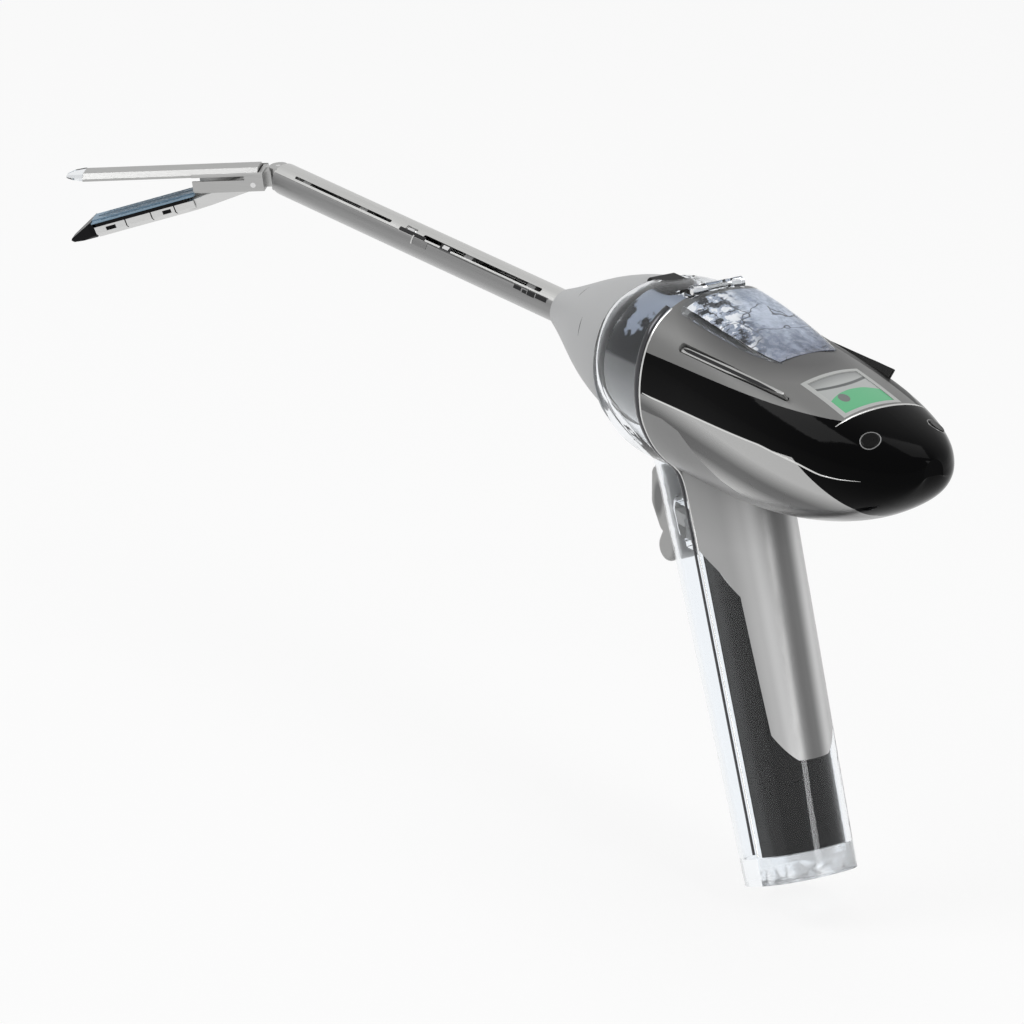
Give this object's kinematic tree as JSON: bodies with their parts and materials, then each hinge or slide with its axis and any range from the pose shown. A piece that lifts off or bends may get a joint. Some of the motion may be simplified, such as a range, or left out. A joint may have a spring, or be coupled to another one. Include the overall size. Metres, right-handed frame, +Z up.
{
  "type": "powered surgical linear stapler",
  "caption": "Pistol-grip powered linear stapler: clear-shelled handle, nose cone, slim shaft, bending joint, thin anvil and an opening cartridge jaw.",
  "frame": {"origin": "on the barrel axis where the shaft leaves the nose cone", "axes": "+Z up, X along the barrel and shaft, jaws towards -X, grip raked back towards +X"},
  "size_m": [0.4623, 0.0871, 0.2011],
  "materials": {
    "clear_shell": "clear moulded plastic",
    "black_gloss": "gloss",
    "grey_matte": "matte",
    "silver_satin": "satin",
    "light_grey": "satin",
    "dark_gloss": "gloss",
    "steel": "satin",
    "bright_steel": "bright",
    "deck_blue": "satin",
    "board": "matte",
    "screen": "lit glass",
    "tip_clear": "clear",
    "bezel": "matte",
    "button_black": "gloss",
    "motor_metal": "satin"
  },
  "bodies": {
    "handle": {"deck_cover": "grey_matte", "belly_cover": "silver_satin", "grip_saddle": "light_grey", "housing_left": "black_gloss", "housing_right": "black_gloss", "grip_shell": "clear_shell", "top_window": "clear_shell", "hinge_pin": "bright_steel", "grip_core": "black_gloss", "battery_cap": "black_gloss", "battery_pack": "dark_gloss", "motor_plate": "steel", "gearboxes": "motor_metal", "drive_motors": "motor_metal", "chassis": "steel", "control_board": "board", "display_bezel": "bezel", "display_lens": "screen"},
    "front_shell": {"shell_front": "clear_shell", "adapter_base": "dark_gloss", "coupling_plate": "steel", "cone_bearing": "bright_steel"},
    "end_button_left": {"end_button_left": "button_black"},
    "end_button_right": {"end_button_right": "button_black"},
    "rocker_left": {"rocker_left": "silver_satin"},
    "rocker_right": {"rocker_right": "silver_satin"},
    "release_button": {"release_button": "button_black"},
    "toggle_gimbal": {"toggle_gimbal": "grey_matte"},
    "toggle_rocker": {"toggle_rocker": "light_grey"},
    "rotation_shaft": {"rotation_shaft": "bright_steel"},
    "firing_shaft": {"firing_shaft": "bright_steel"},
    "bend_shaft": {"bend_shaft": "bright_steel"},
    "adapter": {"nose_cone": "light_grey", "adapter_tube": "steel", "reload_collar": "bright_steel", "reload_tube": "steel", "firing_rod": "bright_steel", "lead_screw": "bright_steel", "rod_guides": "grey_matte", "clevis": "steel"},
    "bend_link": {"bend_link": "bright_steel"},
    "tool": {"tool_knuckle": "steel", "bend_pin": "bright_steel", "side_plates": "steel", "jaw_pin": "bright_steel", "anvil": "steel", "anvil_tip": "tip_clear"},
    "drive_beam": {"drive_beam": "bright_steel"},
    "jaw": {"cartridge_channel": "bright_steel", "cartridge_body": "button_black", "staple_deck": "deck_blue", "cartridge_nose": "button_black", "staples": "bright_steel"},
    "sled": {"sled": "bezel"}
  },
  "joints": [
    {"name": "shell_hinge", "type": "hinge", "parent": "handle", "child": "front_shell", "pos_m": [0.09, 0, 0.0316], "axis": [0, 1, 0], "range_deg": [0, 60]},
    {"name": "end_button_left_press", "type": "slide", "parent": "handle", "child": "end_button_left", "axis": [-0.3314, 0.4516, -0.8284], "range_m": [0, 0.0015], "stiffness_N_per_m": 900, "springref_m": -0.0005},
    {"name": "end_button_right_press", "type": "slide", "parent": "handle", "child": "end_button_right", "axis": [-0.3307, -0.4554, -0.8266], "range_m": [0, 0.0015], "stiffness_N_per_m": 900, "springref_m": -0.0005},
    {"name": "release_press", "type": "slide", "parent": "front_shell", "child": "release_button", "axis": [0, 0, -1], "range_m": [0, 0.0012], "stiffness_N_per_m": 1500, "springref_m": -0.0006},
    {"name": "toggle_side", "type": "hinge", "parent": "front_shell", "child": "toggle_gimbal", "pos_m": [0.082, 0, -0.053], "axis": [0, 0, 1], "range_deg": [-8, 8], "stiffness_Nm_per_rad": 0.3},
    {"name": "toggle_tilt", "type": "hinge", "parent": "toggle_gimbal", "child": "toggle_rocker", "pos_m": [0.0792, 0, -0.053], "axis": [0, 1, 0], "range_deg": [-8, 8], "stiffness_Nm_per_rad": 0.3},
    {"name": "shaft_turn", "type": "hinge", "parent": "front_shell", "child": "adapter", "pos_m": [0, 0, 0], "axis": [1, 0, 0], "continuous": true},
    {"name": "rocker_left_tilt", "type": "hinge", "parent": "handle", "child": "rocker_left", "pos_m": [0.13125, -0.0212, 0.01637], "axis": [-0.0094, 0.8, 0.6], "range_deg": [-1.5, 1.5], "stiffness_Nm_per_rad": 0.6},
    {"name": "rocker_right_tilt", "type": "hinge", "parent": "handle", "child": "rocker_right", "pos_m": [0.13125, 0.0212, 0.01637], "axis": [0.0094, 0.8, -0.6], "range_deg": [-1.5, 1.5], "stiffness_Nm_per_rad": 0.6},
    {"name": "rotation_shaft_spin", "type": "hinge", "parent": "front_shell", "child": "rotation_shaft", "pos_m": [0.08, 0, 0.012], "axis": [1, 0, 0], "continuous": true},
    {"name": "firing_shaft_spin", "type": "hinge", "parent": "front_shell", "child": "firing_shaft", "pos_m": [0.08, -0.01039, -0.006], "axis": [1, 0, 0], "range_deg": [0, 2160]},
    {"name": "bend_shaft_spin", "type": "hinge", "parent": "front_shell", "child": "bend_shaft", "pos_m": [0.08, 0.01039, -0.006], "axis": [1, 0, 0], "range_deg": [0, 720]},
    {"name": "bend", "type": "hinge", "parent": "adapter", "child": "tool", "pos_m": [-0.191, 0, 0], "axis": [0, -0.1392, 0.9903], "range_deg": [-90, 0]},
    {"name": "bend_link_slide", "type": "slide", "parent": "adapter", "child": "bend_link", "axis": [-1, 0, 0], "range_m": [-0.0046, 0]},
    {"name": "jaw_close", "type": "hinge", "parent": "tool", "child": "jaw", "pos_m": [-0.19736, -0.00616, -0.00188], "axis": [-0.7071, 0.7002, 0.0984], "range_deg": [0, 13.5]},
    {"name": "beam_slide", "type": "slide", "parent": "tool", "child": "drive_beam", "axis": [-0.7071, -0.7002, -0.0984], "range_m": [0, 0.004]},
    {"name": "firing", "type": "slide", "parent": "jaw", "child": "sled", "axis": [-0.6876, -0.6484, -0.3269], "range_m": [0, 0.027]}
  ],
  "couplings": [
    {"joint": "rotation_shaft_spin", "follows": "shaft_turn", "ratio": -4},
    {"joint": "bend_shaft_spin", "follows": "bend", "ratio": -8},
    {"joint": "bend_link_slide", "follows": "bend", "m_per_rad": 0.002801},
    {"joint": "beam_slide", "follows": "jaw_close", "m_per_rad": 0.016552},
    {"joint": "firing_shaft_spin", "follows": "firing", "rad_per_m": 1357.5}
  ]
}
